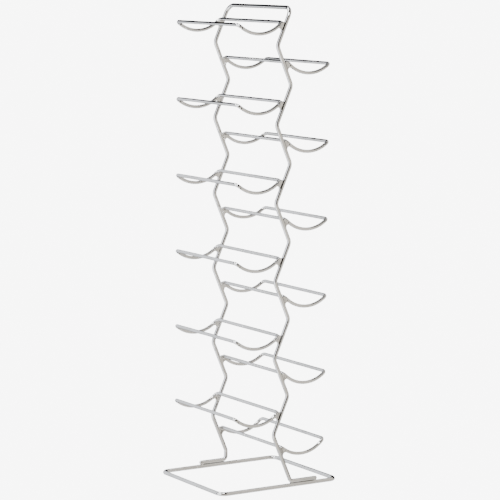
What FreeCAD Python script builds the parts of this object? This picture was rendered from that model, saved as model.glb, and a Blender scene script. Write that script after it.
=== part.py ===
import FreeCAD, Part
import math
import os

# A free-standing wine rack for twelve bottles, made of bent and welded round wire. Millimetres.
# +X runs from the left upright to the right one, +Y from the front holders to the back ones,
# +Z is up. The origin is on the floor under the middle of the base.

document = FreeCAD.newDocument("wine_rack")
sheet = document.addObject("Spreadsheet::Sheet", "Sizes")

sizes = {
    "frame_gauge": 7.0,            # diameter of the uprights' and the base's wire
    "holder_gauge": 6.0,           # diameter of the holders' wire
    "upright_spacing": 200.0,      # between the two uprights' centre lines
    "run_rise": 66.8,              # height that one slanting run of an upright climbs
    "run_swing": 29.0,             # how far the same run goes forwards or back
    "lowest_bend": 28.0,           # height of the lowest bend of the zigzag
    "crown_drop": 2.6,             # crossbar below the height where a further bend would be
    "zigzag_radius": 14.0,         # centre-line radius of the uprights' bends
    "crown_radius": 16.0,          # the same at the two ends of the crossbar
    "heel_radius": 7.0,            # the same where an upright turns into its foot
    "foot_reach": 52.0,            # length of a foot, from its heel to its toe
    "foot_clearance": 0.2,         # between a foot and the base rod under it
    "toe_round": 2.6,              # rounding of the cut ends of the wire
    "base_reach": 237.0,           # base from front rod to back rod, between centre lines
    "base_radius": 14.0,           # centre-line radius of the base's corners
    "holder_reach": 87.0,          # a holder's inner bar to its outer bar, between centre lines
    "holder_dip": 17.5,            # depth of the dips that a bottle lies in
    "holder_radius": 7.0,          # centre-line radius where a bar turns into a dip
    "holder_lift": 6.5,            # inner bar above the middle of the run that carries it
    "holder_tilt": -2.5,           # degrees that a holder's outer bar is raised
    "last_lift": 10.5,             # the lowest back holder is set higher than the others
    "last_tilt": 4.5,              # and its outer bar is raised instead of lowered
    "weld_clearance": 1.0,         # between an inner bar and the run beside it, filled by weld
    "weld_drop": 5.0,              # from the inner bar down to the middle of its weld
    "weld_breadth": 10.0,
    "weld_thickness": 5.0,
    "foot_weld_breadth": 6.5,
    "foot_weld_thickness": 4.5,
}

for row, (name, value) in enumerate(sizes.items(), start=1):
    sheet.set("A%d" % row, name)
    sheet.set("B%d" % row, str(value))
    sheet.setAlias("B%d" % row, name)
document.recompute()

tier_count = 6      # holders on each side; each takes one slanting run of both uprights
run_count = 2 * tier_count


def size(name):
    return float(sheet.get(name))


def bound(item, values):
    for prop, expression in values.items():
        item.setExpression(prop, expression)


# ---- bent wire: straight runs joined by tangent arcs, with a round section carried along it

def arc(start, middle, end):
    return Part.Arc(start, middle, end).toShape()


def line(start, end):
    return Part.LineSegment(start, end).toShape()


def bend(before, corner, after, radius):
    """The arc that rounds a corner, and the two points where it meets the straight runs."""
    back = (before - corner).normalize()
    ahead = (after - corner).normalize()
    half_turn = (math.pi - back.getAngle(ahead)) / 2
    start = corner + back * radius * math.tan(half_turn)
    end = corner + ahead * radius * math.tan(half_turn)
    inward = (back + ahead).normalize()
    middle = corner + inward * radius * (1 / math.cos(half_turn) - 1)
    return start, middle, end


def bent_path(corners, radii, closed=False):
    """A wire through corner points; an open path has no radius at its first and last point."""
    count = len(corners)
    bends = []
    for index, corner in enumerate(corners):
        if closed or 0 < index < count - 1:
            following = corners[(index + 1) % count]
            bends.append(bend(corners[index - 1], corner, following, radii[index]))
        else:
            bends.append((corner, corner, corner))
    edges = []
    for index, (start, middle, end) in enumerate(bends):
        if start != end:
            edges.append(arc(start, middle, end))
        if closed or index < count - 1:
            edges.append(line(end, bends[(index + 1) % count][0]))
    return Part.Wire(Part.__sortEdges__(edges))


def path_feature(name, wire):
    feature = document.addObject("Part::Feature", name)
    feature.Shape = wire
    return feature


def section_feature(name, gauge, path):
    """A circle of the wire's gauge, square to the start of the path."""
    section = document.addObject("Part::Circle", name)
    first = path.Shape.Edges[0]
    along = first.tangentAt(first.FirstParameter)
    turn = FreeCAD.Rotation(FreeCAD.Vector(0, 0, 1), along)
    section.Placement = FreeCAD.Placement(first.valueAt(first.FirstParameter), turn)
    bound(section, {"Radius": "Sizes.%s / 2" % gauge})
    return section


def swept_wire(label, path, section):
    wire = document.addObject("Part::Sweep", label)
    wire.Label = label
    wire.Spine = (path, ["Edge%d" % (number + 1) for number in range(len(path.Shape.Edges))])
    wire.Sections = [section]
    wire.Solid = True
    return wire


# ---- the base: one closed loop that lies on the floor

def base_loop():
    side = size("upright_spacing") / 2
    end = size("base_reach") / 2
    height = size("frame_gauge") / 2
    corners = [
        FreeCAD.Vector(-side, -end, height),
        FreeCAD.Vector(side, -end, height),
        FreeCAD.Vector(side, end, height),
        FreeCAD.Vector(-side, end, height),
    ]
    path = path_feature("base_path", bent_path(corners, [size("base_radius")] * 4, closed=True))
    return swept_wire("base_loop", path, section_feature("base_section", "frame_gauge", path))


# ---- the frame: one wire, foot to foot, up one zigzag upright, over the top and down the other

def zigzag_height(bend_number):
    """Bends are counted down from the crossbar: even ones point back, odd ones forwards."""
    return size("lowest_bend") + (run_count - bend_number) * size("run_rise")


def zigzag_depth(bend_number):
    return size("run_swing") / 2 * (-1 if bend_number % 2 else 1)


def zigzag_frame():
    side = size("upright_spacing") / 2
    slope = size("run_swing") / size("run_rise")
    foot_height = 1.5 * size("frame_gauge") + size("foot_clearance")
    crossbar = zigzag_height(0) - size("crown_drop")
    crown_depth = zigzag_depth(0) - size("crown_drop") * slope
    heel_left = zigzag_depth(run_count)
    heel_right = zigzag_depth(run_count) + (zigzag_height(run_count) - foot_height) * slope
    reach = size("foot_reach")

    def zigzag(x, numbers):
        return [FreeCAD.Vector(x, zigzag_depth(n), zigzag_height(n)) for n in numbers]

    # The left upright ends in a short plumb run; the right one slants on down to its heel.
    left = [
        FreeCAD.Vector(-side, heel_left - reach, foot_height),
        FreeCAD.Vector(-side, heel_left, foot_height),
    ]
    left += zigzag(-side, range(run_count, 0, -1))
    crown = [
        FreeCAD.Vector(-side, crown_depth, crossbar),
        FreeCAD.Vector(side, crown_depth, crossbar),
    ]
    right = zigzag(side, range(1, run_count))
    right += [
        FreeCAD.Vector(side, heel_right, foot_height),
        FreeCAD.Vector(side, heel_right + reach, foot_height),
    ]
    radii = [0, size("heel_radius")] + [size("zigzag_radius")] * run_count
    radii += [size("crown_radius")] * 2
    radii += [size("zigzag_radius")] * (run_count - 1) + [size("heel_radius"), 0]
    path = path_feature("frame_path", bent_path(left + crown + right, radii))
    wire = swept_wire("frame_wire", path, section_feature("frame_section", "frame_gauge", path))
    document.recompute()

    # The two cut ends of the wire are rounded over.
    toes = [left[0], right[-1]]
    edges = []
    for number, edge in enumerate(wire.Shape.Edges, start=1):
        if min((edge.CenterOfMass - toe).Length for toe in toes) < 0.01:
            edges.append((number, size("toe_round"), size("toe_round")))
    frame = document.addObject("Part::Fillet", "zigzag_frame")
    frame.Label = "zigzag_frame"
    frame.Base = wire
    frame.Edges = edges
    return frame


# ---- the holders: twelve alike loops, each two bars joined by two dips that cradle a bottle

def holder_path():
    """Drawn for a back holder: its inner bar lies along X through the origin."""
    side = size("upright_spacing") / 2
    reach = size("holder_reach")
    dip = size("holder_dip")
    radius = size("holder_radius")
    steepness = 2 * math.atan(dip / (reach / 2 + radius))
    down = FreeCAD.Vector(0, math.cos(steepness), -math.sin(steepness))
    over = FreeCAD.Vector(1, 0, 0)

    def placed(point, right, outer):
        """Mirrors a point given at the left end of the inner bar to any of the four corners."""
        x = -point.x if right else point.x
        y = reach - point.y if outer else point.y
        return FreeCAD.Vector(x, y, point.z)

    corner = FreeCAD.Vector(-side, 0, 0)
    bar_end = corner + over * radius
    dip_end = corner + down * radius
    bend_middle = corner + (over + down) * radius * (1 - math.sqrt(0.5))
    dip_bottom = FreeCAD.Vector(-side, reach / 2, -dip)

    edges = []
    for right in (False, True):
        for outer in (False, True):
            points = [placed(point, right, outer) for point in (bar_end, bend_middle, dip_end)]
            edges.append(arc(*points))
        ends = [placed(dip_end, right, outer) for outer in (False, True)]
        edges.append(arc(ends[0], placed(dip_bottom, right, False), ends[1]))
    for outer in (False, True):
        edges.append(line(placed(bar_end, False, outer), placed(bar_end, True, outer)))
    return path_feature("holder_path", Part.Wire(Part.__sortEdges__(edges)))


upright_lines = {"left": "(-Sizes.upright_spacing / 2)", "right": "(Sizes.upright_spacing / 2)"}


def carrier_terms(side, tier):
    """Expression texts for the run that carries a holder: which one, and how it leans."""
    # Front holders hang below the bends that point back, back holders below the other ones.
    bend_number = 2 * tier - (2 if side == "front" else 1)
    last = bend_number == run_count - 1
    return {
        "way": -1 if side == "front" else 1,
        "yaw": 180 if side == "front" else 0,
        "lift": "Sizes.last_lift" if last else "Sizes.holder_lift",
        "tilt": "Sizes.last_tilt" if last else "Sizes.holder_tilt",
        "runs": run_count - bend_number - 0.5,
        "lean": "atan(Sizes.run_swing / Sizes.run_rise)",
    }


def bar_height(terms):
    """Height of the inner bar."""
    return "(Sizes.lowest_bend + {runs} * Sizes.run_rise + {lift})".format(**terms)


def holder(label, path, section, terms):
    """The inner bar stands off square to its run, and the loop is tilted about that bar."""
    wire = swept_wire(label, path, section)
    apart = "((Sizes.frame_gauge + Sizes.holder_gauge) / 2 + Sizes.weld_clearance)"
    depth = ("{way} * (" + apart + " / cos({lean}) - {lift} * tan({lean}))").format(**terms)
    turn = "rotationz({yaw}) * rotationx({tilt})".format(**terms)
    spot = "vector(0; %s; %s)" % (depth, bar_height(terms))
    bound(wire, {"Placement": "placement(%s; %s)" % (spot, turn)})
    return wire


# ---- welds: webs that fill between two wires and stop at their surfaces

def web(name, breadth, thickness, x, depth, height):
    """A disc square to X, before the wires on either side of it are cut away."""
    disc = document.addObject("Part::Cylinder", name)
    bound(disc, {
        "Radius": "Sizes.%s / 2" % breadth,
        "Height": "Sizes.%s" % thickness,
        "Placement": "placement(vector(%s - Sizes.%s / 2; %s; %s); rotationy(90))" % (
            x, thickness, depth, height),
    })
    return disc


def trimmed(label, webs, wires):
    """Cuts each wire out of a pair of webs."""
    item = document.addObject("Part::Compound", label + "_webs")
    item.Links = webs
    for number, wire in enumerate(wires, start=1):
        cut = document.addObject("Part::Cut", "%s_cut_%d" % (label, number))
        cut.Base = item
        cut.Tool = wire
        item = cut
    item.Label = label
    return item


def holder_weld(label, loop, frame, terms):
    """One web at each upright, in the crotch below the inner bar."""
    gap = "(Sizes.weld_clearance / 2 + Sizes.weld_drop * tan({lean} / 2))"
    out = "(Sizes.frame_gauge / 2 + " + gap + ") / cos({lean})"
    depth = ("{way} * (" + out + " - ({lift} - Sizes.weld_drop) * tan({lean}))").format(**terms)
    height = bar_height(terms) + " - Sizes.weld_drop"
    webs = [
        web("%s_%s" % (label, side), "weld_breadth", "weld_thickness", x, depth, height)
        for side, x in upright_lines.items()
    ]
    return trimmed(label, webs, [loop, frame])


def foot_weld(side, heel, toe, frame, base):
    """One web at the heel and one at the toe."""
    height = "Sizes.frame_gauge + Sizes.foot_clearance / 2"
    label = "%s_foot_weld" % side
    webs = [
        web("%s_%s" % (label, end), "foot_weld_breadth", "foot_weld_thickness",
            upright_lines[side], depth, height)
        for end, depth in (("heel", heel), ("toe", toe))
    ]
    return trimmed(label, webs, [frame, base])


base = base_loop()
frame = zigzag_frame()
nodes = [base, frame]

loop_path = holder_path()
loop_section = section_feature("holder_section", "holder_gauge", loop_path)
for tier in range(1, tier_count + 1):
    for side in ("front", "back"):
        terms = carrier_terms(side, tier)
        loop = holder("%s_holder_%d" % (side, tier), loop_path, loop_section, terms)
        weld = holder_weld("%s_weld_%d" % (side, tier), loop, frame, terms)
        nodes += [loop, weld]

heel_left = "Sizes.run_swing / 2"
foot_line = "(1.5 * Sizes.frame_gauge + Sizes.foot_clearance)"
heel_right = "(%s + (Sizes.lowest_bend - %s) * Sizes.run_swing / Sizes.run_rise)" % (
    heel_left, foot_line)
nodes.append(foot_weld("left", heel_left, heel_left + " - Sizes.foot_reach", frame, base))
nodes.append(foot_weld("right", heel_right, heel_right + " + Sizes.foot_reach", frame, base))

document.recompute()

for item in document.Objects:
    if "Invalid" in item.State or "Error" in item.State:
        raise RuntimeError("%s is not up to date: %s" % (item.Label, item.State))
for node in nodes:
    if node.Shape.isNull() or not node.Shape.isValid():
        raise RuntimeError("%s has no valid shape" % node.Label)

os.makedirs("parts", exist_ok=True)
for node in nodes:
    node.Shape.exportStep("parts/%s.step" % node.Label)
    print(node.Label, len(node.Shape.Solids), "solids", round(node.Shape.Volume, 1), "mm3")
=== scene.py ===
import math

import bpy
import numpy as np
from mathutils import Matrix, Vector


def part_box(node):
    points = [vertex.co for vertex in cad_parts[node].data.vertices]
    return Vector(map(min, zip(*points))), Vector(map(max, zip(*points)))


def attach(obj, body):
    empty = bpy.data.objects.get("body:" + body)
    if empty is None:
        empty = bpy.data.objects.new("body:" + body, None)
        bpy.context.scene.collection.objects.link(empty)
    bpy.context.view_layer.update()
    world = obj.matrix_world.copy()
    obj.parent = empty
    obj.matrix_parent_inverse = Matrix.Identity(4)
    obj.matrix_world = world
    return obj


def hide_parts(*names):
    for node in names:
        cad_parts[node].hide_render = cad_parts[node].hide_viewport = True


# The looks of a wire wine rack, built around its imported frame. Metres, +Z up, front holders towards -Y.

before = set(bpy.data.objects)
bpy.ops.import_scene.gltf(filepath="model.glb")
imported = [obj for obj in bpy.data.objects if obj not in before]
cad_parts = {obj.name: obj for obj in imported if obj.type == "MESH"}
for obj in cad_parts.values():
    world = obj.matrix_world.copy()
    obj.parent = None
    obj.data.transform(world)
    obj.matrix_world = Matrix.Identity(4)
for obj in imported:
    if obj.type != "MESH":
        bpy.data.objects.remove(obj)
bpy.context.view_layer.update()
mm = 0.001
print("frame loaded:", len(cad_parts), "nodes")


# Where the wires run, read from the frame.

def nodePoints(name):
    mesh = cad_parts[name].data
    flat = np.empty(len(mesh.vertices) * 3, np.float32)
    mesh.vertices.foreach_get("co", flat)
    return flat.reshape(-1, 3).astype(float)


def unit(vectors):
    return vectors / np.linalg.norm(vectors, axis=-1, keepdims=True)


def point(x, y, z):
    return np.array([x, y, z], float)


# Bent wire.

def turned(vector, axis, angles):
    # A vector turned about a unit axis: v cos a + (axis x v) sin a + axis (axis . v) (1 - cos a).
    cosine = np.cos(angles)[:, None]
    sine = np.sin(angles)[:, None]
    return vector * cosine + np.cross(axis, vector) * sine + axis * (axis @ vector) * (1 - cosine)


def centreLine(corners, radii, spacing, arcStep):
    # Straight runs joined by arcs. At a corner that turns by t, an arc of radius r starts r tan(t/2)
    # before it, and a point on it is start + r sin(a) ahead + r (1 - cos a) inward, for a from 0 to t.
    # A side vector is turned along each arc together with the wire, so that the section never twists.
    # The pull is the way to the inside of the bend, strongest half way round it.
    places, aheads, sides, pulls = [], [], [], []
    ahead = unit(corners[1] - corners[0])
    side = unit(np.cross(ahead, point(0.31, 0.57, 0.76)))
    cursor = corners[0]
    for index in range(1, len(corners)):
        last = index == len(corners) - 1
        turn = 0.0
        target = corners[index]
        if not last:
            following = unit(corners[index + 1] - corners[index])
            turn = math.acos(min(1.0, max(-1.0, float(ahead @ following))))
            target = corners[index] - ahead * radii[index] * math.tan(turn / 2)
        steps = max(1, math.ceil(np.linalg.norm(target - cursor) / spacing))
        share = np.linspace(0, 1, steps, endpoint=False)[:, None]
        places.append(cursor + (target - cursor) * share)
        aheads.append(np.repeat(ahead[None], steps, 0))
        sides.append(np.repeat(side[None], steps, 0))
        pulls.append(np.zeros((steps, 3)))
        cursor = target
        if last:
            break
        inward = unit(following - ahead * math.cos(turn))
        axis = np.cross(ahead, inward)
        steps = max(2, math.ceil(math.degrees(turn) / arcStep))
        angles = np.linspace(0, turn, steps, endpoint=False)
        sine = np.sin(angles)[:, None]
        cosine = np.cos(angles)[:, None]
        places.append(cursor + radii[index] * (ahead * sine + inward * (1 - cosine)))
        aheads.append(turned(ahead, axis, angles))
        sides.append(turned(side, axis, angles))
        pulls.append(turned(inward, axis, angles) * np.sin(math.pi * angles / turn)[:, None])
        cursor = cursor + radii[index] * (ahead * math.sin(turn) + inward * (1 - math.cos(turn)))
        side = turned(side, axis, np.array([turn]))[0]
        ahead = following
    places.append(cursor[None])
    aheads.append(ahead[None])
    sides.append(side[None])
    pulls.append(np.zeros((1, 3)))
    line = {"place": places, "ahead": aheads, "side": sides, "pull": pulls}
    line = {name: np.concatenate(parts) for name, parts in line.items()}
    steps = np.linalg.norm(np.diff(line["place"], axis=0), axis=1)
    line["along"] = np.concatenate([[0.0], np.cumsum(steps)])
    return line


def resampled(line, along):
    # The same line at other distances along it; vectors are made unit length again.
    new = {"along": along}
    for name in ("place", "ahead", "side", "pull"):
        columns = [np.interp(along, line["along"], line[name][:, axis]) for axis in range(3)]
        new[name] = np.stack(columns, 1)
    new["ahead"] = unit(new["ahead"])
    new["side"] = unit(new["side"])
    return new


def ripples(along, length, cycles, seed):
    # A sum of sines with whole numbers of cycles over the wire, so that a closed loop meets itself.
    random = np.random.default_rng(seed)
    counts = random.choice(np.arange(cycles[0], cycles[1] + 1), 5, replace=False)
    phases = random.uniform(0, 2 * math.pi, 5)
    strengths = random.uniform(0.5, 1.0, 5)
    waves = np.sin(2 * math.pi * counts * along[:, None] / length + phases)
    return waves @ strengths / strengths.sum()


def wireSurface(line, look, seed, closed):
    # A round section carried along the centre line: place + r (cos b side + sin b other). It is pressed
    # a little oval in the bends: r (1 - f (spoke . pull)^2 + f/2 pull^2). A cut end is rounded over.
    length = line["along"][-1]
    radius = look["gauge"] / 2
    if closed:
        ahead, side = line["ahead"][0], line["side"][0]
        endSide = line["side"][-1]
        twist = math.atan2(np.cross(endSide, side) @ ahead, endSide @ side)
    else:
        toe = look["toe"]
        lead = toe * (1 - np.cos(np.radians(np.linspace(0, 90, look["toeRings"]))))
        clear = toe * 1.05      # the wire's own rings start just past the rounded end
        middle = line["along"][(line["along"] > clear) & (line["along"] < length - clear)]
        line = resampled(line, np.concatenate([lead, middle, length - lead[::-1]]))
        twist = 0.0
    along = line["along"]
    other = np.cross(line["ahead"], line["side"])
    around = np.linspace(0, 2 * math.pi, look["sides"], endpoint=False)
    angles = around[None] + (twist * along / length)[:, None]
    across = np.cos(angles)[..., None] * line["side"][:, None]
    spokes = across + np.sin(angles)[..., None] * other[:, None]
    squeeze = np.einsum("nmk,nk->nm", spokes, line["pull"]) ** 2
    squeeze -= 0.5 * np.sum(line["pull"] ** 2, 1)[:, None]
    reach = radius * (1 - look["oval"] * squeeze)
    reach = reach + look["dieMarks"] * ripples(along, length, look["dieCycles"], seed)[:, None]
    sway = np.stack([ripples(along, length, look["swayCycles"], seed + k) for k in (1, 2)], 1)
    sway *= look["sway"]
    if not closed:
        ends = np.minimum(along, length - along)
        dome = np.sqrt(np.clip(toe ** 2 - np.clip(toe - ends, 0, toe) ** 2, 0, None))
        reach = np.where((ends < toe)[:, None], radius - toe + dome[:, None], reach)
        sway *= np.clip(ends / look["swayFade"], 0, 1)[:, None]
    centre = line["place"] + sway[:, :1] * line["side"] + sway[:, 1:] * other
    surface = centre[:, None] + reach[..., None] * spokes
    if closed:
        surface = surface[:-1]
    return surface, along


def gridFaces(rows, columns, closedRows):
    # Quads between neighbouring rows and columns; columns always meet round the wire.
    rowCount = rows if closedRows else rows - 1
    row, column = np.meshgrid(np.arange(rowCount), np.arange(columns), indexing="ij")
    nextRow = (row + 1) % rows
    nextColumn = (column + 1) % columns
    quads = np.stack([row * columns + column, row * columns + nextColumn,
                      nextRow * columns + nextColumn, nextRow * columns + column], -1)
    uvRow = np.stack([row, row, row + 1, row + 1], -1)
    uvColumn = np.stack([column, column + 1, column + 1, column], -1)
    return quads.reshape(-1, 4), uvRow.reshape(-1, 4), uvColumn.reshape(-1, 4)


def skinMesh(name, skins):
    # One mesh from one or more skins; the corners of each count on from the vertices before it.
    before = np.cumsum([0] + [len(part[0]) for part in skins[:-1]])
    vertices = np.concatenate([part[0] for part in skins])
    corners = np.concatenate([part[1] + first for part, first in zip(skins, before)])
    sizes = np.concatenate([part[2] for part in skins])
    uv = np.concatenate([part[3] for part in skins])
    mesh = bpy.data.meshes.new(name)
    mesh.vertices.add(len(vertices))
    mesh.vertices.foreach_set("co", vertices.astype(np.float32).ravel())
    mesh.loops.add(len(corners))
    mesh.loops.foreach_set("vertex_index", corners.astype(np.int32))
    mesh.polygons.add(len(sizes))
    starts = np.concatenate([[0], np.cumsum(sizes)[:-1]]).astype(np.int32)
    mesh.polygons.foreach_set("loop_start", starts)
    mesh.polygons.foreach_set("use_smooth", np.ones(len(sizes), bool))
    layer = mesh.uv_layers.new(name="wireMap")
    mesh.update(calc_edges=True)
    layer.data.foreach_set("uv", uv.astype(np.float32).ravel())
    return mesh


def skin(surface, along, closed, girth):
    # The map's U is the distance along the rows and V the distance round them, both in metres. The two
    # ends of an open grid close in a fan about a point in the middle of the last ring.
    rows, columns = surface.shape[:2]
    quads, uvRow, uvColumn = gridFaces(rows, columns, closed)
    distance = along if closed else np.append(along, along[-1])
    uv = np.stack([distance[uvRow], uvColumn / columns * girth], -1)
    vertices = surface.reshape(-1, 3)
    corners = quads.ravel()
    uv = uv.reshape(-1, 2)
    sizes = np.full(len(quads), 4)
    if not closed:
        tips = np.stack([surface[0].mean(0), surface[-1].mean(0)])
        ring = np.arange(columns)
        following = (ring + 1) % columns
        lastRing = (rows - 1) * columns
        firstTip, lastTip = len(vertices), len(vertices) + 1
        startFan = np.stack([following, ring, np.full(columns, firstTip)], 1)
        endFan = np.stack([lastRing + ring, lastRing + following, np.full(columns, lastTip)], 1)
        vertices = np.concatenate([vertices, tips])
        corners = np.concatenate([corners, startFan.ravel(), endFan.ravel()])
        fanUv = np.stack([np.zeros(columns * 3), np.tile([0, 1, 0.5], columns) * girth / columns], 1)
        uv = np.concatenate([uv, fanUv, fanUv + [along[-1], 0]])
        sizes = np.concatenate([sizes, np.full(columns * 2, 3)])
    return vertices, corners, sizes, uv


def addPiece(name, mesh, material, node):
    piece = bpy.data.objects.new(name, mesh)
    bpy.context.scene.collection.objects.link(piece)
    mesh.materials.append(material)
    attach(piece, "root")
    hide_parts(node)


# Finishes.

def linked(tree, kind, **sockets):
    node = tree.nodes.new(kind)
    for name, value in sockets.items():
        node.inputs[name].default_value = value
    return node


wirePlating = {
    "clean": (0.92, 0.92, 0.93),
    "dull": (0.80, 0.80, 0.79),      # thin or hazy patches of the plating
    "patch": 28.0,                   # patches per metre
    "rim": (0.20, 0.20, 0.21),       # what is left of a reflection seen at a glancing angle
    "polish": 0.025,
    "haze": 0.10,                    # roughness in the haziest patches
    "smear": 240.0,                  # small wipe marks per metre
    "drawing": (14.0, 5200.0),       # drawn lines per metre, along the wire and round it
    "drawingDepth": 0.004 * mm,
    "pitting": 1500.0,
    "pitDepth": 0.006 * mm,
}
weldPlating = {
    "clean": (0.92, 0.92, 0.92),
    "dull": (0.70, 0.69, 0.67),
    "patch": 190.0,
    "rim": (0.20, 0.20, 0.21),
    "polish": 0.04,
    "haze": 0.14,
    "smear": 700.0,
    "drawing": (900.0, 260.0),       # the ripples that the bead froze in
    "drawingDepth": 0.05 * mm,
    "pitting": 900.0,
    "pitDepth": 0.03 * mm,
}


platingTexture = {
    "patchStops": (0.34, 0.56),      # noise at which the colour is fully dull and fully clean
    "smearRange": (0.18, 0.42),      # noise at which the roughness is at its least and its most
    "lineStrength": 0.25,
    "pitStrength": 0.35,
}


def plating(name, look):
    # Chrome: a metal whose colour and polish drift in patches, with wipe marks in its roughness, the
    # lines of the drawn wire showing through along its length, and fine pits.
    texture = platingTexture
    material = bpy.data.materials.new(name)
    material.use_nodes = True
    tree = material.node_tree
    shader = tree.nodes["Principled BSDF"]
    shader.inputs["Metallic"].default_value = 1.0
    shader.inputs["Specular Tint"].default_value = (*look["rim"], 1)
    place = tree.nodes.new("ShaderNodeTexCoord")
    wireMap = tree.nodes.new("ShaderNodeUVMap")
    wireMap.uv_map = "wireMap"

    patches = linked(tree, "ShaderNodeTexNoise", Scale=look["patch"], Detail=4.0, Roughness=0.55)
    tree.links.new(place.outputs["Object"], patches.inputs["Vector"])
    colour = tree.nodes.new("ShaderNodeValToRGB")
    colour.color_ramp.elements[0].position = texture["patchStops"][0]
    colour.color_ramp.elements[0].color = (*look["dull"], 1)
    colour.color_ramp.elements[1].position = texture["patchStops"][1]
    colour.color_ramp.elements[1].color = (*look["clean"], 1)
    tree.links.new(patches.outputs["Fac"], colour.inputs[0])
    tree.links.new(colour.outputs["Color"], shader.inputs["Base Color"])

    smears = linked(tree, "ShaderNodeTexNoise", Scale=look["smear"], Detail=3.0, Roughness=0.6)
    tree.links.new(place.outputs["Object"], smears.inputs["Vector"])
    product = tree.nodes.new("ShaderNodeMath")
    product.operation = "MULTIPLY"
    tree.links.new(patches.outputs["Fac"], product.inputs[0])
    tree.links.new(smears.outputs["Fac"], product.inputs[1])
    least, most = texture["smearRange"]
    rough = linked(tree, "ShaderNodeMapRange", **{"From Min": least, "From Max": most,
                                                  "To Min": look["polish"], "To Max": look["haze"]})
    tree.links.new(product.outputs[0], rough.inputs["Value"])
    tree.links.new(rough.outputs[0], shader.inputs["Roughness"])

    stretchMap = linked(tree, "ShaderNodeMapping", Scale=(*look["drawing"], 1.0))
    tree.links.new(wireMap.outputs["UV"], stretchMap.inputs["Vector"])
    drawing = linked(tree, "ShaderNodeTexNoise", Scale=1.0, Detail=2.0)
    tree.links.new(stretchMap.outputs["Vector"], drawing.inputs["Vector"])
    pits = linked(tree, "ShaderNodeTexNoise", Scale=look["pitting"], Detail=1.0)
    tree.links.new(place.outputs["Object"], pits.inputs["Vector"])
    lines = linked(tree, "ShaderNodeBump", Strength=texture["lineStrength"],
                   Distance=look["drawingDepth"])
    grain = linked(tree, "ShaderNodeBump", Strength=texture["pitStrength"],
                   Distance=look["pitDepth"])
    tree.links.new(drawing.outputs["Fac"], lines.inputs["Height"])
    tree.links.new(pits.outputs["Fac"], grain.inputs["Height"])
    tree.links.new(lines.outputs["Normal"], grain.inputs["Normal"])
    tree.links.new(grain.outputs["Normal"], shader.inputs["Normal"])
    return material


wireChrome = plating("wireChrome", wirePlating)
weldChrome = plating("weldChrome", weldPlating)
print("finishes ready")

# The base: a closed loop lying on the floor.

baseWire = {
    "gauge": 7.0 * mm,
    "cornerRadius": 14.0 * mm,
    "sides": 40,
    "spacing": 3.0 * mm,
    "arcStep": 3.0,             # degrees from one ring to the next in a bend
    "oval": 0.03,
    "dieMarks": 0.008 * mm,
    "dieCycles": (40, 90),
    "sway": 0.10 * mm,
    "swayCycles": (4, 12),
    "seed": 11,
}


def baseCorners():
    low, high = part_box("base_loop")
    half = baseWire["gauge"] / 2
    left, right = low.x + half, high.x - half
    front, back = low.y + half, high.y - half
    height = (low.z + high.z) / 2
    start = point(0, back, height)
    return [start, point(left, back, height), point(left, front, height),
            point(right, front, height), point(right, back, height), start]


baseLine = centreLine(baseCorners(), [0] + [baseWire["cornerRadius"]] * 4 + [0],
                      baseWire["spacing"], baseWire["arcStep"])
surface, along = wireSurface(baseLine, baseWire, baseWire["seed"], closed=True)
mesh = skinMesh("baseWire", [skin(surface, along, True, math.pi * baseWire["gauge"])])
addPiece("baseWire", mesh, wireChrome, "base_loop")
print("base wire:", len(surface), "rings")

# The frame: one wire from foot to foot over the crossbar.

frameWire = {
    "gauge": 7.0 * mm,
    "runs": 12,                   # slanting runs of each upright
    "lowestBend": 28.0 * mm,
    "crownDrop": 2.6 * mm,
    "swing": 29.0 * mm,
    "bendRadius": 14.0 * mm,
    "crownRadius": 16.0 * mm,
    "heelRadius": 7.0 * mm,
    "footReach": 52.0 * mm,
    "toe": 2.6 * mm,              # how far the cut ends are rounded over
    "toeRings": 9,
    "sides": 40,
    "spacing": 2.5 * mm,
    "arcStep": 3.0,
    "oval": 0.05,
    "dieMarks": 0.008 * mm,
    "dieCycles": (90, 200),
    "sway": 0.10 * mm,
    "swayCycles": (14, 40),
    "swayFade": 30.0 * mm,        # the waviness dies out this far from a cut end
    "seed": 23,
}


def frameShape():
    # Bends are counted down from the crossbar: even ones point back, odd ones forwards.
    low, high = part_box("zigzag_frame")
    half = frameWire["gauge"] / 2
    runs = frameWire["runs"]
    side = high.x - half
    crossbar = high.z - half
    footHeight = low.z + half
    rise = (crossbar + frameWire["crownDrop"] - frameWire["lowestBend"]) / runs
    number = np.arange(runs + 1)
    depth = frameWire["swing"] / 2 * np.where(number % 2, -1, 1)
    height = frameWire["lowestBend"] + (runs - number) * rise
    slope = frameWire["swing"] / rise
    return {"side": side, "crossbar": crossbar, "footHeight": footHeight, "depth": depth,
            "height": height, "crownDepth": depth[0] - frameWire["crownDrop"] * slope,
            "leftHeel": depth[-1], "rightHeel": depth[-1] + (height[-1] - footHeight) * slope}


shape = frameShape()


def frameCorners():
    side, foot, reach = shape["side"], shape["footHeight"], frameWire["footReach"]
    corners = [point(-side, shape["leftHeel"] - reach, foot), point(-side, shape["leftHeel"], foot)]
    radii = [0, frameWire["heelRadius"]]
    for number in range(frameWire["runs"], 0, -1):
        corners.append(point(-side, shape["depth"][number], shape["height"][number]))
        radii.append(frameWire["bendRadius"])
    for x in (-side, side):
        corners.append(point(x, shape["crownDepth"], shape["crossbar"]))
        radii.append(frameWire["crownRadius"])
    for number in range(1, frameWire["runs"]):
        corners.append(point(side, shape["depth"][number], shape["height"][number]))
        radii.append(frameWire["bendRadius"])
    corners += [point(side, shape["rightHeel"], foot), point(side, shape["rightHeel"] + reach, foot)]
    radii += [frameWire["heelRadius"], 0]
    return corners, radii


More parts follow.
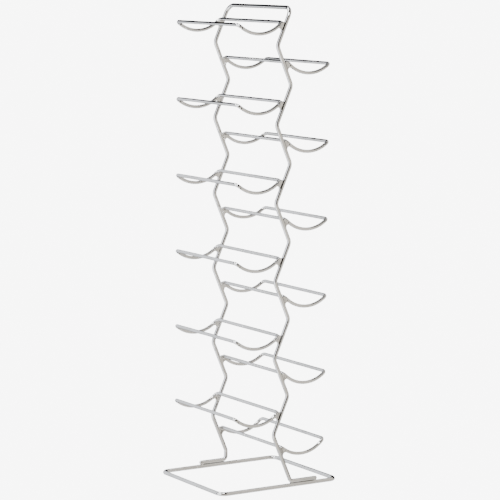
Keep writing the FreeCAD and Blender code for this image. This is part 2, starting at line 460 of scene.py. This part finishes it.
corners, radii = frameCorners()
frameLine = centreLine(corners, radii, frameWire["spacing"], frameWire["arcStep"])
surface, along = wireSurface(frameLine, frameWire, frameWire["seed"], closed=False)
mesh = skinMesh("frameWire", [skin(surface, along, False, math.pi * frameWire["gauge"])])
addPiece("frameWire", mesh, wireChrome, "zigzag_frame")
print("frame wire:", len(surface), "rings")

# The holders: two bars joined by two dips.

holderWire = {
    "gauge": 6.0 * mm,
    "dip": 17.5 * mm,
    "cornerRadius": 7.0 * mm,
    "sides": 36,
    "spacing": 2.5 * mm,
    "arcStep": 3.75,
    "oval": 0.05,
    "dieMarks": 0.008 * mm,
    "dieCycles": (30, 70),
    "sway": 0.10 * mm,
    "swayCycles": (4, 11),
    "slack": 0.05 * mm,           # how far past a bar's end a point may lie and still count as on it
    "seed": 100,
}


def holderSeat(node):
    # The rings where the straight bars end give the middle of the inner and of the outer bar.
    low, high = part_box(node)
    half = holderWire["gauge"] / 2
    side = high.x - half
    points = nodePoints(node)
    onBars = points[np.abs(points[:, 0]) < side - holderWire["cornerRadius"] + holderWire["slack"]]
    middle = (low.y + high.y) / 2
    bars = []
    for group in (onBars[onBars[:, 1] < middle], onBars[onBars[:, 1] > middle]):
        centre = (group.min(0) + group.max(0)) / 2
        bars.append(point(0, centre[1], centre[2]))
    bars.sort(key=lambda bar: abs(bar[1]))
    inner, outer = bars
    reach = float(np.linalg.norm(outer - inner))
    out = (outer - inner) / reach
    up = point(0, -out[2], out[1])
    return {"side": side, "inner": inner, "reach": reach, "out": out, "up": up * np.sign(up[2])}


def dipSteepness(reach):
    # The angle s below the bars at which a dip leaves them: tan(s/2) = dip/(reach/2 + r).
    return 2 * math.atan(holderWire["dip"] / (reach / 2 + holderWire["cornerRadius"]))


def holderCorners(seat):
    # Each dip is one arc that touches its two end runs.
    side, reach, radius = seat["side"], seat["reach"], holderWire["cornerRadius"]
    steepness = dipSteepness(reach)
    low = reach / 2 * math.tan(steepness)
    dipRadius = (reach / 2 / math.cos(steepness) - radius) / math.tan(steepness)
    spots = [(0, 0, 0), (side, 0, 0), (side, reach / 2, -low), (side, reach, 0),
             (-side, reach, 0), (-side, reach / 2, -low), (-side, 0, 0), (0, 0, 0)]
    corners = [seat["inner"] + point(x, 0, 0) + seat["out"] * out + seat["up"] * up
               for x, out, up in spots]
    radii = [0, radius, dipRadius, radius, radius, dipRadius, radius, 0]
    return corners, radii


seats = {}
holderLines = {}
for tier in range(1, frameWire["runs"] // 2 + 1):
    for way, sideName in enumerate(("front", "back")):
        node = "%s_holder_%d" % (sideName, tier)
        seats[node] = holderSeat(node)
        corners, radii = holderCorners(seats[node])
        holderLines[node] = centreLine(corners, radii, holderWire["spacing"], holderWire["arcStep"])
        seed = holderWire["seed"] + 10 * tier + way
        surface, along = wireSurface(holderLines[node], holderWire, seed, closed=True)
        name = "%sHolderWire%d" % (sideName, tier)
        mesh = skinMesh(name, [skin(surface, along, True, math.pi * holderWire["gauge"])])
        addPiece(name, mesh, wireChrome, node)
print("holder wires:", len(holderLines))

# The welds.

weldBead = {
    "sink": 0.15 * mm,          # the bead's stubs lie this far below the wires' surfaces
    "depth": 11.5 * mm,         # from the inner bar down the crotch to the web's lower edge
    "headroom": 1.2 * mm,       # the web goes on this far above the inner bar
    "halfWeb": 2.0 * mm,
    "inset": 0.5 * mm,          # the web's middle, towards the middle of the rack
    "wireFillet": 1.6 * mm,
    "webFillet": 1.5 * mm,
    "edgeRound": 1.0 * mm,
    "lump": 0.16 * mm,
    "lumpSize": 7.0 * mm,
    "rimFillet": 1.2 * mm,      # between the web's lower and upper edges
    "ball": 11.0 * mm,          # the stubs end at this distance from the bead's middle
    "ballShare": 0.42,          # the bead's middle, as a share of the web's height
    "uprightReach": 26.0 * mm,  # how much of each wire the bead takes notice of
    "holderReach": 24.0 * mm,
    "columns": 60,
    "faceRings": 18,
    "faceSpan": (0.06, 1.0),    # the first and last ring on a face, as shares of its width
    "faceShare": 0.8,
    "edgeRings": 5,
    "samples": 40,              # steps outwards to the skin, which is then halved in on
    "halvings": 9,
    "ringMap": 0.5 * mm,
    "girth": 12.0 * mm,
    "footFillet": 3.6 * mm,
    "footLeast": 0.02,          # what is left of that fillet at the ends of the bead
    "footSpread": 5.0 * mm,
    "footBall": 8.0 * mm,
    "footStretch": 20.0 * mm,
    "footLumpSize": 5.0 * mm,
    "footHalfWeb": 3.0 * mm,
    "toeInset": 1.0 * mm,
    "seed": 500,
    "footSeed": 700,
}


def stretch(line, centre, reach, spacing=0.4 * mm):
    # Points every so often on the part of a centre line that comes near a place.
    near = np.linalg.norm(line["place"] - centre, axis=1) < reach
    along = line["along"][near]
    grid = np.arange(along.min(), along.max(), spacing)
    columns = [np.interp(grid, line["along"], line["place"][:, axis]) for axis in range(3)]
    return np.stack(columns, 1)


def nearest(points, samples):
    # Distance from each point to the closest sample: |p|^2 + |q|^2 - 2 p . q, at its smallest.
    flat = points.reshape(-1, 3)
    square = (flat ** 2).sum(1)[:, None] + (samples ** 2).sum(1)[None] - 2 * flat @ samples.T
    return np.sqrt(np.clip(square.min(1), 0, None)).reshape(points.shape[:-1])


def softMax(a, b, width):
    # The larger of two fields, with a fillet where they come within the width of each other.
    share = np.clip(0.5 + 0.5 * (a - b) / width, 0, 1)
    return b + (a - b) * share + width * share * (1 - share)


def softMin(a, b, width):
    return -softMax(-a, -b, width)


def beadSkin(field, centre, ball, halfWeb):
    # A closed skin round the centre: in each direction, given by an angle off the plane square to X and
    # one round it, the radius at which the field first falls below nothing. Rings are close together
    # where they cross the flat faces of the web.
    look = weldBead
    spread = np.linspace(*look["faceSpan"], look["faceRings"]) * ball * look["faceShare"]
    face = np.arctan2(halfWeb, spread)
    edge = np.linspace(0, face[-1], look["edgeRings"] + 1)[1:-1]
    lift = np.concatenate([-face, -edge[::-1], [0], edge, face[::-1]])
    turns = np.linspace(0, 2 * math.pi, look["columns"], endpoint=False)
    ways = np.stack(np.broadcast_arrays(np.sin(lift)[:, None],
                                        np.cos(lift)[:, None] * np.cos(turns),
                                        np.cos(lift)[:, None] * np.sin(turns)), -1)
    radii = np.linspace(0, ball, look["samples"])
    value = field(centre + ways[..., None, :] * radii[:, None])
    outside = value < 0
    outside[..., -1] = True
    first = np.argmax(outside, -1)
    low, high = radii[np.maximum(first - 1, 0)], radii[first]
    for _ in range(look["halvings"]):
        middle = (low + high) / 2
        inside = field(centre + ways * middle[..., None]) > 0
        low = np.where(inside, middle, low)
        high = np.where(inside, high, middle)
    surface = centre + ways * low[..., None]
    along = np.cumsum(np.full(len(lift), look["ringMap"]))
    return skin(surface, along, False, look["girth"])


def lumps(points, size, seed):
    # A gentle unevenness: a sum of sines in three directions, each over about the given size.
    random = np.random.default_rng(seed)
    total = 0
    for _ in range(4):
        way = unit(random.normal(size=3)) * 2 * math.pi / (size * random.uniform(0.8, 1.5))
        total = total + np.sin(points @ way + random.uniform(0, 2 * math.pi))
    return total / 4


def holderBead(node, x, seed):
    # A web of metal in the crotch between the run of the upright and the start of the dip. Its lower
    # edge is the circle that touches both wires; fillets lead on to the wires.
    look = weldBead
    seat = seats[node]
    wayIn = -np.sign(x)
    corner = seat["inner"] + point(x, 0, 0)
    steepness = dipSteepness(seat["reach"])
    dipWay = seat["out"] * math.cos(steepness) - seat["up"] * math.sin(steepness)
    upright = stretch(frameLine, corner, look["uprightReach"])
    upright = upright[np.argsort(-upright[:, 2])]
    runWay = unit(upright[-1] - upright[0])
    crotch = unit(runWay + dipWay)
    runRadius = frameWire["gauge"] / 2 - look["sink"]
    holderRadius = holderWire["gauge"] / 2 - look["sink"]
    offRun = (corner - upright[0]) - runWay * ((corner - upright[0]) @ runWay)
    clear = np.linalg.norm(offRun)
    gap = clear - runRadius - holderRadius
    gapMiddle = corner - unit(offRun) * (holderRadius + gap / 2)
    half = math.acos(min(1.0, float(runWay @ crotch)))
    along = (look["depth"] + gap / 2) / (1 - math.sin(half))
    circle = gapMiddle + crotch * along
    offDip = unit(unit(offRun) - dipWay * (unit(offRun) @ dipWay))
    circleRadius = gap / 2 + along * math.sin(half)
    centre = gapMiddle + crotch * (look["depth"] - look["headroom"]) * look["ballShare"]
    centre[0] = x + wayIn * look["inset"]
    holder = stretch(holderLines[node], corner, look["holderReach"])

    def field(points):
        run = runRadius - nearest(points, upright)
        loop = holderRadius - nearest(points, holder)
        wires = softMax(run, loop, look["wireFillet"])
        flat = points - circle
        below = np.sqrt(flat[..., 1] ** 2 + flat[..., 2] ** 2) - circleRadius
        above = look["headroom"] + (points - gapMiddle) @ crotch
        uneven = look["lump"] * lumps(points - corner, look["lumpSize"], seed)
        web = look["halfWeb"] + uneven - np.abs(points[..., 0] - centre[0])
        rim = softMin(below + uneven, above + uneven, look["rimFillet"])
        web = softMin(web, rim, look["edgeRound"])
        web = np.minimum(web, (points - upright[0]) @ unit(offRun))
        web = np.minimum(web, (corner - points) @ offDip)
        joint = softMax(wires, web, look["webFillet"])
        return np.minimum(joint, look["ball"] - np.linalg.norm(points - centre, axis=-1))

    return beadSkin(field, centre, look["ball"], look["halfWeb"])


def footBead(x, y, seed):
    # The fillets between a foot and the base rod that it lies on, strongest at the middle of the bead.
    look = weldBead
    radius = frameWire["gauge"] / 2 - look["sink"]
    floorGap = shape["footHeight"] - frameWire["gauge"] / 2
    centre = point(x, y, (floorGap + baseWire["gauge"]) / 2)
    foot = stretch(frameLine, centre, look["footStretch"])
    rod = stretch(baseLine, centre, look["footStretch"])

    def field(points):
        share = np.clip(1 - ((points[..., 1] - y) / look["footSpread"]) ** 2, look["footLeast"], 1)
        uneven = look["lump"] * lumps(points - centre, look["footLumpSize"], seed)
        joint = softMax(radius - nearest(points, foot), radius - nearest(points, rod),
                        look["footFillet"] * share) + uneven * share * 0.5
        return np.minimum(joint, look["footBall"] - np.linalg.norm(points - centre, axis=-1))

    return beadSkin(field, centre, look["footBall"], look["footHalfWeb"])


for tier in range(1, frameWire["runs"] // 2 + 1):
    for way, sideName in enumerate(("front", "back")):
        node = "%s_holder_%d" % (sideName, tier)
        seed = weldBead["seed"] + 20 * tier + 4 * way
        places = enumerate((-shape["side"], shape["side"]))
        beads = [holderBead(node, x, seed + turn) for turn, x in places]
        mesh = skinMesh("%sWeld%d" % (sideName, tier), beads)
        addPiece(mesh.name, mesh, weldChrome, "%s_weld_%d" % (sideName, tier))
for sideName, way in (("left", -1), ("right", 1)):
    heel = shape["leftHeel"] if way < 0 else shape["rightHeel"]
    toe = heel + way * (frameWire["footReach"] - weldBead["toeInset"])
    seed = weldBead["footSeed"] + 10 * way
    places = enumerate((heel, toe))
    beads = [footBead(way * shape["side"], y, seed + turn) for turn, y in places]
    mesh = skinMesh("%sFootWeld" % sideName, beads)
    addPiece(mesh.name, mesh, weldChrome, "%s_foot_weld" % sideName)
print("welds:", 2 * len(seats) + 4)

# Floor, light and camera.

camera = {
    "azimuth": 57.47,
    "elevation": 7.46,
    "roll": 0.54,
    "distance": 3.854,
    "aim": (-0.0024, 0.0, 0.40425),
    "lens": 159.08,
    "sensor": 36.0,
    "farthest": 50,
}


def placeCamera():
    azimuth, elevation, roll = (math.radians(camera[key]) for key in ("azimuth", "elevation", "roll"))
    back = point(math.sin(azimuth) * math.cos(elevation), -math.cos(azimuth) * math.cos(elevation),
                 math.sin(elevation))
    right = point(math.cos(azimuth), math.sin(azimuth), 0)
    up = np.cross(back, right)
    turnedRight = math.cos(roll) * right + math.sin(roll) * up
    turnedUp = -math.sin(roll) * right + math.cos(roll) * up
    data = bpy.data.cameras.new("camera")
    data.lens = camera["lens"]
    data.sensor_width = camera["sensor"]
    data.clip_end = camera["farthest"]
    item = bpy.data.objects.new("camera", data)
    bpy.context.scene.collection.objects.link(item)
    place = np.array(camera["aim"]) + back * camera["distance"]
    matrix = np.eye(4)
    matrix[:3, 0], matrix[:3, 1], matrix[:3, 2], matrix[:3, 3] = turnedRight, turnedUp, back, place
    item.matrix_world = Matrix(matrix)
    bpy.context.scene.camera = item


placeCamera()
print("camera placed")


def emissionMaterial(name, colour, strength):
    material = bpy.data.materials.new(name)
    material.use_nodes = True
    tree = material.node_tree
    tree.nodes.clear()
    output = tree.nodes.new("ShaderNodeOutputMaterial")
    emission = linked(tree, "ShaderNodeEmission", Color=(*colour, 1), Strength=strength)
    tree.links.new(emission.outputs[0], output.inputs["Surface"])
    return material


def card(name, centre, across, upward, width, height, material):
    # A flat rectangle about its centre, spanned by two unit directions.
    across, upward = unit(np.array(across, float)), unit(np.array(upward, float))
    corners = [np.array(centre) + across * width / 2 * a + upward * height / 2 * b
               for a, b in ((-1, -1), (1, -1), (1, 1), (-1, 1))]
    mesh = bpy.data.meshes.new(name)
    mesh.from_pydata([tuple(corner) for corner in corners], [], [(0, 1, 2, 3)])
    mesh.materials.append(material)
    item = bpy.data.objects.new(name, mesh)
    bpy.context.scene.collection.objects.link(item)
    return item


# Only mirrored rays see the cards and the room; the camera sees a pale floor and a pale backdrop.
studio = {
    "backdrop": 8.0,                # strength of the pale floor and of what the camera sees behind it
    "floorSize": 30,
    "floorDrop": 0.0002,
    "roomLight": ((-1.0, 1.0), (-0.42, 1.0), (-0.28, 0.80), (-0.16, 0.35), (-0.06, 0.06), (0.10, 0.035),
                  (0.80, 0.03), (0.97, 0.30)),      # height of a direction, and the light from there
    "coolFloor": (1.35, 1.39, 1.45),
    "warmFloor": (0.92, 0.86, 0.76),
    "tintSpan": 0.6,                # cool this far towards -X, warm this far towards +X
    "behind": (-0.843, 0.538, 0.0),  # the room is unlit this way, which draws thin dark outlines
    "behindEdge": (0.55, 0.78),      # cosines between which the light fades
    "roomStrength": (1.05, 0.08),    # lit and unlit
    "leftWall": {"centre": (-0.42, -0.275, 0.195), "facing": (1, 0, 0), "width": 0.85, "height": 1.24,
                 "colour": (0.95, 0.97, 1.0), "strength": 1.45},
    "rightWall": {"centre": (0.95, 0.75, 0.60), "facing": (-0.8, -0.6, 0), "width": 2.2, "height": 1.30,
                  "colour": (1.0, 0.94, 0.83), "strength": 0.92},
    "frontWall": {"centre": (0.10, -1.5, 0.60), "facing": (0, 1, 0), "width": 1.25, "height": 4.0,
                  "colour": (0.97, 0.98, 1.0), "strength": 2.6},
    "ceiling": {"centre": (-0.30, 1.40, 1.5), "facing": (0, -0.001, -1), "width": 2.6, "height": 1.6,
                "colour": (1.0, 0.95, 0.88), "strength": 0.85},
    "keyLight": {"centre": (0.85, -0.75, 1.90), "facing": (-0.45, 0.40, -0.80), "width": 0.6,
                 "height": 0.6, "colour": (1, 1, 1), "strength": 16.0},
    "sideLight": {"centre": (-0.55, -0.60, 1.80), "facing": (0.30, 0.35, -0.85), "width": 0.5,
                  "height": 0.5, "colour": (1, 1, 1), "strength": 12.0},
}


def facingCard(name):
    # An upright or tilted card that faces the given way, with its lower edge level.
    look = studio[name]
    facing = unit(np.array(look["facing"], float))
    across = unit(np.cross(point(0, 0, 1), facing))
    upward = np.cross(facing, across)
    material = emissionMaterial(name + "Glow", look["colour"], look["strength"])
    item = card(name, look["centre"], across, upward, look["width"], look["height"], material)
    item.visible_camera = False
    item.visible_diffuse = False
    item.visible_shadow = False


floor = card("floor", (0, 0, -studio["floorDrop"]), (1, 0, 0), (0, 1, 0), studio["floorSize"],
             studio["floorSize"], emissionMaterial("floorPale", (1, 1, 1), studio["backdrop"]))
floor.visible_glossy = False
floor.visible_diffuse = False
floor.visible_shadow = False
for name in ("leftWall", "rightWall", "frontWall", "ceiling", "keyLight", "sideLight"):
    facingCard(name)


def studioWorld():
    # Mirrored rays see a floor that is brightest below and falls dark towards the horizon, then a dark
    # room with a dim ceiling: a ramp over the height of the ray's direction.
    world = bpy.data.worlds.new("studio")
    bpy.context.scene.world = world
    world.use_nodes = True
    tree = world.node_tree
    tree.nodes.clear()
    output = tree.nodes.new("ShaderNodeOutputWorld")
    direction = tree.nodes.new("ShaderNodeTexCoord")
    split = tree.nodes.new("ShaderNodeSeparateXYZ")
    height = linked(tree, "ShaderNodeMapRange", **{"From Min": -1.0, "From Max": 1.0})
    ramp = tree.nodes.new("ShaderNodeValToRGB")
    stops = studio["roomLight"]
    elements = ramp.color_ramp.elements
    while len(elements) < len(stops):
        elements.new(0.5)
    for element, (value, light) in zip(elements, stops):
        element.position = (value + 1) / 2
        element.color = (light, light, light, 1)
    tint = tree.nodes.new("ShaderNodeMix")
    tint.data_type = "RGBA"
    tint.inputs["A"].default_value = (*studio["coolFloor"], 1)
    tint.inputs["B"].default_value = (*studio["warmFloor"], 1)
    span = studio["tintSpan"]
    aside = linked(tree, "ShaderNodeMapRange", **{"From Min": -span, "From Max": span})
    lit = tree.nodes.new("ShaderNodeMix")
    lit.data_type = "RGBA"
    lit.blend_type = "MULTIPLY"
    lit.inputs["Factor"].default_value = 1.0
    away = tree.nodes.new("ShaderNodeVectorMath")
    away.operation = "DOT_PRODUCT"
    away.inputs[1].default_value = studio["behind"]
    (edgeStart, edgeEnd), (bright, dark) = studio["behindEdge"], studio["roomStrength"]
    unlit = linked(tree, "ShaderNodeMapRange", **{"From Min": edgeStart, "From Max": edgeEnd,
                                                  "To Min": bright, "To Max": dark})
    tree.links.new(direction.outputs["Generated"], away.inputs[0])
    tree.links.new(away.outputs["Value"], unlit.inputs["Value"])
    tree.links.new(split.outputs["X"], aside.inputs["Value"])
    tree.links.new(aside.outputs[0], tint.inputs["Factor"])
    tree.links.new(ramp.outputs["Color"], lit.inputs["A"])
    tree.links.new(tint.outputs["Result"], lit.inputs["B"])
    room = tree.nodes.new("ShaderNodeBackground")
    tree.links.new(unlit.outputs[0], room.inputs["Strength"])
    backdrop = linked(tree, "ShaderNodeBackground", Color=(1, 1, 1, 1), Strength=studio["backdrop"])
    path = tree.nodes.new("ShaderNodeLightPath")
    mix = tree.nodes.new("ShaderNodeMixShader")
    tree.links.new(direction.outputs["Generated"], split.inputs[0])
    tree.links.new(split.outputs["Z"], height.inputs["Value"])
    tree.links.new(height.outputs[0], ramp.inputs[0])
    tree.links.new(lit.outputs["Result"], room.inputs["Color"])
    tree.links.new(path.outputs["Is Camera Ray"], mix.inputs[0])
    tree.links.new(room.outputs[0], mix.inputs[1])
    tree.links.new(backdrop.outputs[0], mix.inputs[2])
    tree.links.new(mix.outputs[0], output.inputs["Surface"])


studioWorld()
print("studio set")
